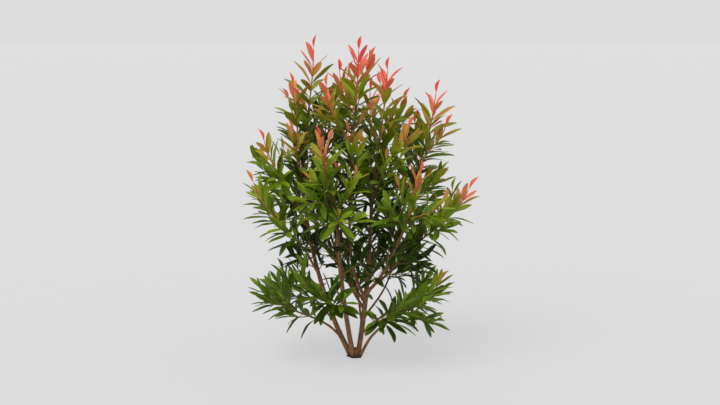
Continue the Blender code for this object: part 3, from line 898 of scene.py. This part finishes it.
def placed_leaf(leaf, closer, shorter, chance):
    """Points of one leaf where it grows, at a share of its angle and of its length."""
    angle = math.radians(leaf.angle * closer)
    heading = leaf.axis * math.cos(angle) + leaf.side * math.sin(angle)
    upper = leaf.axis * math.sin(angle) - leaf.side * math.cos(angle)
    if not leaf.bud:
        upper += UP * SKY_TURN
    upper = Matrix.Rotation(chance.twist * UPRIGHT_ROLL * max(0.0, heading.z) ** 2, 3, heading) @ upper
    across = upper.cross(heading).normalized()
    normal = heading.cross(across).normalized()
    length = leaf.length * shorter
    fold = (YOUNG_FOLD + (OLD_FOLD - YOUNG_FOLD) * leaf.age) * chance.fold
    width = length * (YOUNG_WIDTH + (OLD_WIDTH - YOUNG_WIDTH) * leaf.age) * chance.width
    fullness = BLADE_FULLNESS
    if leaf.bud:
        fold = BUD_FOLD
        width = BUD_WIDTH * length
        fullness = BUD_FULLNESS
    roll = chance.twist * leaf.age
    sweep = chance.sweep * leaf.age
    shape = leaf_shape(length, leaf.bend, fold, roll, sweep, chance.phase, width, fullness)
    turn = numpy.array((tuple(heading), tuple(across), tuple(normal)))
    return shape @ turn + numpy.array(tuple(leaf.root))


class Joined:
    """Many small meshes gathered into one, with a material number for each face."""

    def __init__(self):
        self.points = []
        self.faces = []
        self.slots = []
        self.count = 0

    def add(self, points, faces, slots):
        base = self.count
        self.points.append(points)
        self.faces.extend(tuple(base + corner for corner in face) for face in faces)
        self.slots.extend(slots)
        self.count += len(points)

    def make(self, name, materials, sharp_angle):
        mesh = bpy.data.meshes.new(name)
        used = sorted(set(self.slots))
        numbers = {old: new for new, old in enumerate(used)}
        for old in used:
            mesh.materials.append(materials[old])
        mesh.from_pydata(numpy.concatenate(self.points).tolist(), [], self.faces)
        mesh.polygons.foreach_set("material_index", [numbers[slot] for slot in self.slots])
        mesh.validate()
        mesh.shade_smooth()
        mesh.set_sharp_from_angle(angle=math.radians(sharp_angle))
        piece = bpy.data.objects.new(name, mesh)
        bpy.context.scene.collection.objects.link(piece)
        return piece


def resampled(path, spacing):
    """Points of a path at an even spacing, with the distance of each along it."""
    length = path_length(path)
    count = max(3, round(length / spacing) + 1)
    curve = []
    for index in range(count):
        distance = length * index / (count - 1)
        curve.append(tuple(place_on(path, distance - 1e-9 if index else 0.0)[0]))
    return numpy.array(curve), numpy.linspace(0.0, length, count)


def smoothed(path, spans):
    """The path again with more points, on a smooth curve through its own points."""
    dense = []
    count = len(path)
    for index in range(count - 1):
        before = path[max(index - 1, 0)]
        a = path[index]
        b = path[index + 1]
        after = path[min(index + 2, count - 1)]
        handle_a = a + (b - before) / 6.0
        handle_b = b - (after - a) / 6.0
        step = interpolate_bezier(a, handle_a, handle_b, b, spans + 1)
        dense.extend(Vector(point) for point in step[:-1])
    dense.append(path[-1].copy())
    return dense


def tube_rings(curve, radii, sides):
    """Rings of points round a curve, each carried on from the last without twisting."""
    tangents = numpy.gradient(curve, axis=0)
    tangents /= numpy.linalg.norm(tangents, axis=1)[:, None]
    seed = numpy.array((1.0, 0.0, 0.0)) if abs(tangents[0][0]) < 0.8 else numpy.array((0.0, 1.0, 0.0))
    angles = numpy.arange(sides) * math.tau / sides
    rings = []
    normal = seed
    for point, tangent, radius in zip(curve, tangents, radii):
        normal = normal - tangent * normal.dot(tangent)
        normal /= numpy.linalg.norm(normal)
        other = numpy.cross(tangent, normal)
        ring = point + radius * (numpy.cos(angles)[:, None] * normal + numpy.sin(angles)[:, None] * other)
        rings.append(ring)
    return numpy.array(rings)


def tube_faces(count, sides):
    """Side faces and two caps of a tube."""
    faces = []
    for row in range(count - 1):
        a = row * sides
        for column in range(sides):
            after = (column + 1) % sides
            faces.append((a + column, a + after, a + sides + after, a + sides + column))
    faces.append(tuple(reversed(range(sides))))
    faces.append(tuple((count - 1) * sides + column for column in range(sides)))
    return faces


def bark_height(point):
    """Relief of the bark at a point: long ridges with a finer grain on them."""
    x, y, z = point
    coarse = noise.noise(Vector((x, y, z * BARK_STRETCH)) * BARK_COARSE)
    fine = noise.noise(Vector((x, y, z * BARK_STRETCH * 1.6)) * BARK_FINE)
    return 0.7 * coarse + 0.4 * fine


def barked(rings, curve, strength):
    """Rings moved in and out by the bark's relief."""
    shape = rings.shape
    middles = numpy.repeat(curve[:, None, :], shape[1], axis=1)
    flat = rings.reshape(-1, 3)
    heights = numpy.array([bark_height(point) for point in flat]).reshape(shape[0], shape[1], 1)
    outward = rings - middles
    reach = numpy.linalg.norm(outward, axis=2, keepdims=True)
    share = numpy.clip(reach / BARK_FULL_RADIUS, BARK_LEAST, 1.0)
    return rings + outward / numpy.maximum(reach, 1e-9) * heights * strength * share


def add_limb(joined, name, paths):
    """One stem or bough as a barked tube, swollen where it leaves the crown or its parent."""
    limb = LIMBS[name]
    sides = STEM_SIDES if name in STEMS else BOUGH_SIDES
    curve, distances = resampled(smoothed(paths[name], LIMB_SPAN_POINTS), BARK_RING)
    shares = distances / distances[-1]
    radii = 0.5 * (limb.thick_start + (limb.thick_end - limb.thick_start) * shares)
    if name in STEMS:
        swell = STEM_SWELL * numpy.exp(-((distances / STEM_SWELL_REACH) ** 2))
    else:
        parent_radius = 0.5 * LIMBS[limb.parent].thick_start
        beyond = numpy.maximum(distances - parent_radius, 0.0)
        swell = COLLAR_SWELL * numpy.exp(-((beyond / COLLAR_REACH) ** 2))
    radii = radii * (1.0 + swell)
    radii[-1] *= LIMB_TIP_SHARE
    rings = barked(tube_rings(curve, radii, sides), curve, BARK_RELIEF)
    faces = tube_faces(len(curve), sides)
    joined.add(rings.reshape(-1, 3), faces, [0] * len(faces))


def add_foot(joined, paths):
    """The root crown between the stems, flat on the ground, with its small root nub."""
    count = round(FOOT_HEIGHT / FOOT_RING) + 1
    heights = numpy.linspace(0.0, FOOT_HEIGHT, count)
    curve = numpy.stack([numpy.zeros(count), numpy.zeros(count), heights], axis=1)
    flare = FOOT_FLARE * numpy.exp(-((heights / FOOT_FLARE_REACH) ** 2))
    top = numpy.sqrt(numpy.clip(1.0 - (heights / FOOT_HEIGHT) ** 6, 0.0, 1.0))
    radii = (FOOT_RADIUS + flare) * (FOOT_TOP_SHARE + (1.0 - FOOT_TOP_SHARE) * top)
    rings = tube_rings(curve, radii, FOOT_SIDES)
    rings = barked(rings, curve, FOOT_COARSER * BARK_RELIEF)
    rings[:, :, 2] = numpy.repeat(heights[:, None], FOOT_SIDES, axis=1)
    faces = tube_faces(count, FOOT_SIDES)
    joined.add(rings.reshape(-1, 3), faces, [0] * len(faces))
    heading = Matrix.Rotation(math.radians(NUB_HEADING), 3, "Z") @ Vector((1.0, 0.0, 0.0))
    nub = [UP * NUB_HEIGHT, UP * NUB_HEIGHT + heading * NUB_LENGTH]
    curve, distances = resampled(nub, NUB_RING)
    shares = distances / distances[-1]
    rounded = numpy.sqrt(numpy.clip(1.0 - shares**8, 0.02, 1.0))
    radii = NUB_RADIUS * (1.0 - NUB_TAPER * shares) * rounded
    rings = barked(tube_rings(curve, radii, NUB_SIDES), curve, BARK_RELIEF)
    faces = tube_faces(len(curve), NUB_SIDES)
    joined.add(rings.reshape(-1, 3), faces, [0] * len(faces))


def cut_at_ground(joined):
    """Press whatever reaches below the ground up to it."""
    for points in joined.points:
        points[:, 2] = numpy.maximum(points[:, 2], 0.0)


def wood_tint(back, flush):
    """The number of a twig's material at a distance below its tip: coral, orange, green or brown."""
    if flush > RED_FLUSH and back < CORAL_WOOD:
        return 0
    if flush > RED_FLUSH and back < ORANGE_WOOD:
        return 1
    if back < GREEN_WOOD:
        return 2
    return 3


def add_twig(joined, shoot):
    """One twig with a knot at each pair of leaves, its bark younger towards the tip."""
    curve, distances = resampled(shoot.path, TWIG_RING)
    length = distances[-1]
    shares = distances / length
    radii = 0.5 * (shoot.thick_start + (TWIG_TIP_THICK - shoot.thick_start) * shares)
    for back in pair_backs(shoot):
        radii = radii + KNOT_SWELL * numpy.exp(-(((distances - length + back) / KNOT_REACH) ** 2))
    radii[-1] *= 0.4
    rings = tube_rings(curve, radii, TWIG_SIDES)
    slots = []
    for row in range(len(curve) - 1):
        slots.extend([wood_tint(length - distances[row], shoot.flush)] * TWIG_SIDES)
    slots.extend([slots[0], slots[-1]])
    joined.add(rings.reshape(-1, 3), tube_faces(len(curve), TWIG_SIDES), slots)


def tint_number(leaf, flush, spray, draw):
    """The tint of a leaf by its distance below the tip and by how red its spray is."""
    back = leaf.back + spray + draw.uniform(-1.0, 1.0) * TINT_JITTER
    return sum(back + (1.0 - flush) * FLUSH_REACH > limit for limit in TINT_STEPS)


def grow_leaves(shoots, space, wood, low, high, draw):
    """Every leaf that stays in its mass's space and clear of wood and of the leaves before it."""
    wanted = []
    for index, shoot in enumerate(shoots):
        spray = draw.uniform(-1.0, 1.0) * SPRAY_JITTER
        for leaf in leaf_places(shoot, draw):
            chance = Chance(
                draw.uniform(*FOLD_SPREAD),
                draw.uniform(-1.0, 1.0) * TWIST_SPREAD,
                draw.uniform(-1.0, 1.0) * SIDE_BEND,
                draw.uniform(0.0, math.tau),
                1.0 + draw.uniform(-1.0, 1.0) * WIDTH_SPREAD,
            )
            tint = tint_number(leaf, shoot.flush, spray, draw)
            wanted.append((index, leaf, chance, tint))
    wanted.sort(key=lambda entry: not entry[1].bud)
    grown = []
    centres = []
    trees = []
    for index, leaf, chance, tint in wanted:
        mass = shoots[index].mass
        points = fitting_leaf(leaf, chance, mass, index, space, wood, low, high, centres, trees)
        if points is not None:
            grown.append((mass, tint, points))
    return grown


def fitting_leaf(leaf, chance, mass, index, space, wood, low, high, centres, trees):
    """The first try at a leaf that fits, or None."""
    for shorter in SHORTER_TRIES:
        for closer in CLOSER_TRIES:
            points = placed_leaf(leaf, closer, shorter, chance)
            if (points.min(axis=0) < low).any() or (points.max(axis=0) > high).any():
                continue
            samples = points[RING_SAMPLES]
            if not leaf.inner and not leaf.bud and not space.holds(mass, samples[3:]):
                continue
            if not wood.clears(samples, index):
                continue
            centre = points.mean(axis=0)
            tree = BVHTree.FromPolygons(points.tolist(), NET_FACES)
            if centres:
                near = numpy.linalg.norm(numpy.array(centres) - centre, axis=1) < NEIGHBOUR_REACH
                if any(tree.overlap(trees[other]) for other in numpy.nonzero(near)[0]):
                    continue
            centres.append(centre)
            trees.append(tree)
            return points
    return None


def build_wood(paths, bark):
    """The bark of the crown and stems, and that of the boughs."""
    stems = Joined()
    add_foot(stems, paths)
    for name in STEMS:
        add_limb(stems, name, paths)
    cut_at_ground(stems)
    stem_bark = stems.make("bark_stems", [bark], WOOD_SHARP)
    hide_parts("root_crown", *STEMS)
    boughs = Joined()
    for name in BOUGHS:
        add_limb(boughs, name, paths)
    bough_bark = boughs.make("bark_boughs", [bark], WOOD_SHARP)
    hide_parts(*BOUGHS)
    for piece in (stem_bark, bough_bark):
        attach(piece, "root")


def build_twigs(shoots, materials):
    """The twigs of every mass, joined by mass."""
    for name in MASSES:
        joined = Joined()
        for shoot in shoots:
            if shoot.mass != name:
                continue
            add_twig(joined, shoot)
        piece = joined.make("twigs_" + name, materials, WOOD_SHARP)
        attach(piece, "root")
        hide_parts(name)


def build_foliage(grown, tints, ribs):
    """The young and the grown leaves of every mass, joined by mass."""
    materials = [*tints, *ribs]
    young_rib = len(tints)
    old_rib = young_rib + 1
    for name in MASSES:
        for kind, slot_name in (("young_leaves_", "young_foliage"), ("leaves_", "foliage")):
            young = kind == "young_leaves_"
            joined = Joined()
            for mass, tint, points in grown:
                if mass != name or (tint < YOUNG_TINTS) != young:
                    continue
                rib = young_rib if young else old_rib
                joined.add(points, LEAF_FACES, [rib if marked else tint for marked in LEAF_RIBS])
            if not joined.points:
                continue
            piece = joined.make(kind + name, materials, LEAF_SHARP)
            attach(piece, "root")
            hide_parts(name)


def build_studio():
    """A plain pale floor and sky, soft lights, and the camera."""
    scene = bpy.context.scene
    scene.view_settings.view_transform = "Standard"
    world = bpy.data.worlds.new("studio")
    world.use_nodes = True
    tree = world.node_tree
    background = tree.nodes["Background"]
    place = tree.nodes.new("ShaderNodeTexCoord")
    height = tree.nodes.new("ShaderNodeSeparateXYZ")
    ramp = tree.nodes.new("ShaderNodeMapRange")
    ramp.interpolation_type = "SMOOTHSTEP"
    ramp.inputs["From Min"].default_value = HORIZON_TOP
    ramp.inputs["From Max"].default_value = ZENITH_FOOT
    ramp.inputs["To Min"].default_value = HORIZON_LIGHT
    ramp.inputs["To Max"].default_value = ZENITH_LIGHT
    tree.links.new(place.outputs["Generated"], height.inputs["Vector"])
    tree.links.new(height.outputs["Z"], ramp.inputs["Value"])
    tree.links.new(ramp.outputs["Result"], background.inputs["Strength"])
    background.inputs["Color"].default_value = (1.0, 1.0, 1.0, 1.0)
    scene.world = world
    mesh = bpy.data.meshes.new("floor")
    half = 0.5 * FLOOR_SIZE
    corners = [(-half, -half, 0.0), (half, -half, 0.0), (half, half, 0.0), (-half, half, 0.0)]
    mesh.from_pydata(corners, [], [(0, 1, 2, 3)])
    floor = bpy.data.objects.new("floor", mesh)
    mesh.materials.append(floor_material())
    scene.collection.objects.link(floor)
    floor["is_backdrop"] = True
    sun = bpy.data.lights.new("key", "SUN")
    sun.energy = SUN_STRENGTH
    sun.angle = math.radians(SUN_SOFTNESS)
    lamp = bpy.data.objects.new("key", sun)
    lamp.rotation_euler = Vector(SUN_FROM).to_track_quat("Z", "Y").to_euler()
    scene.collection.objects.link(lamp)
    camera = bpy.data.cameras.new("camera")
    camera.lens = CAMERA_LENS
    camera.sensor_width = SENSOR_WIDTH
    made = bpy.data.objects.new("camera", camera)
    rise = math.radians(CAMERA_RISE)
    forward = Vector((0.0, math.cos(rise), -math.sin(rise)))
    made.location = Vector(CAMERA_AIM) - forward * CAMERA_DISTANCE
    made.rotation_euler = (math.radians(90.0 - CAMERA_RISE), 0.0, 0.0)
    scene.collection.objects.link(made)
    scene.camera = made


def main():
    """Build the shrub and its studio."""
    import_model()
    cad_low, cad_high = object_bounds()
    low = numpy.array(tuple(cad_low))
    high = numpy.array(tuple(cad_high))
    build_studio()
    paths = limb_paths()
    build_wood(paths, bark_material())
    draw = random.Random(SEED)
    shoots = mass_shoots(paths)
    space = Segments(shoots)
    shoots += fine_twigs(shoots, space, low, high, draw)
    shoots += inner_twigs(paths, draw)
    wood = Segments(shoots, [(paths[name], limb) for name, limb in LIMBS.items()])
    grown = grow_leaves(shoots, space, wood, low, high, draw)
    build_twigs(shoots, [plain_material(tint.name, tint.colour, tint.roughness) for tint in WOODS])
    tints = [plain_material("leaf_" + tint.name, tint.colour, tint.roughness) for tint in TINTS]
    ribs = [plain_material("leaf_" + rib.name, rib.colour, rib.roughness) for rib in RIBS]
    build_foliage(grown, tints, ribs)
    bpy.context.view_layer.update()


main()
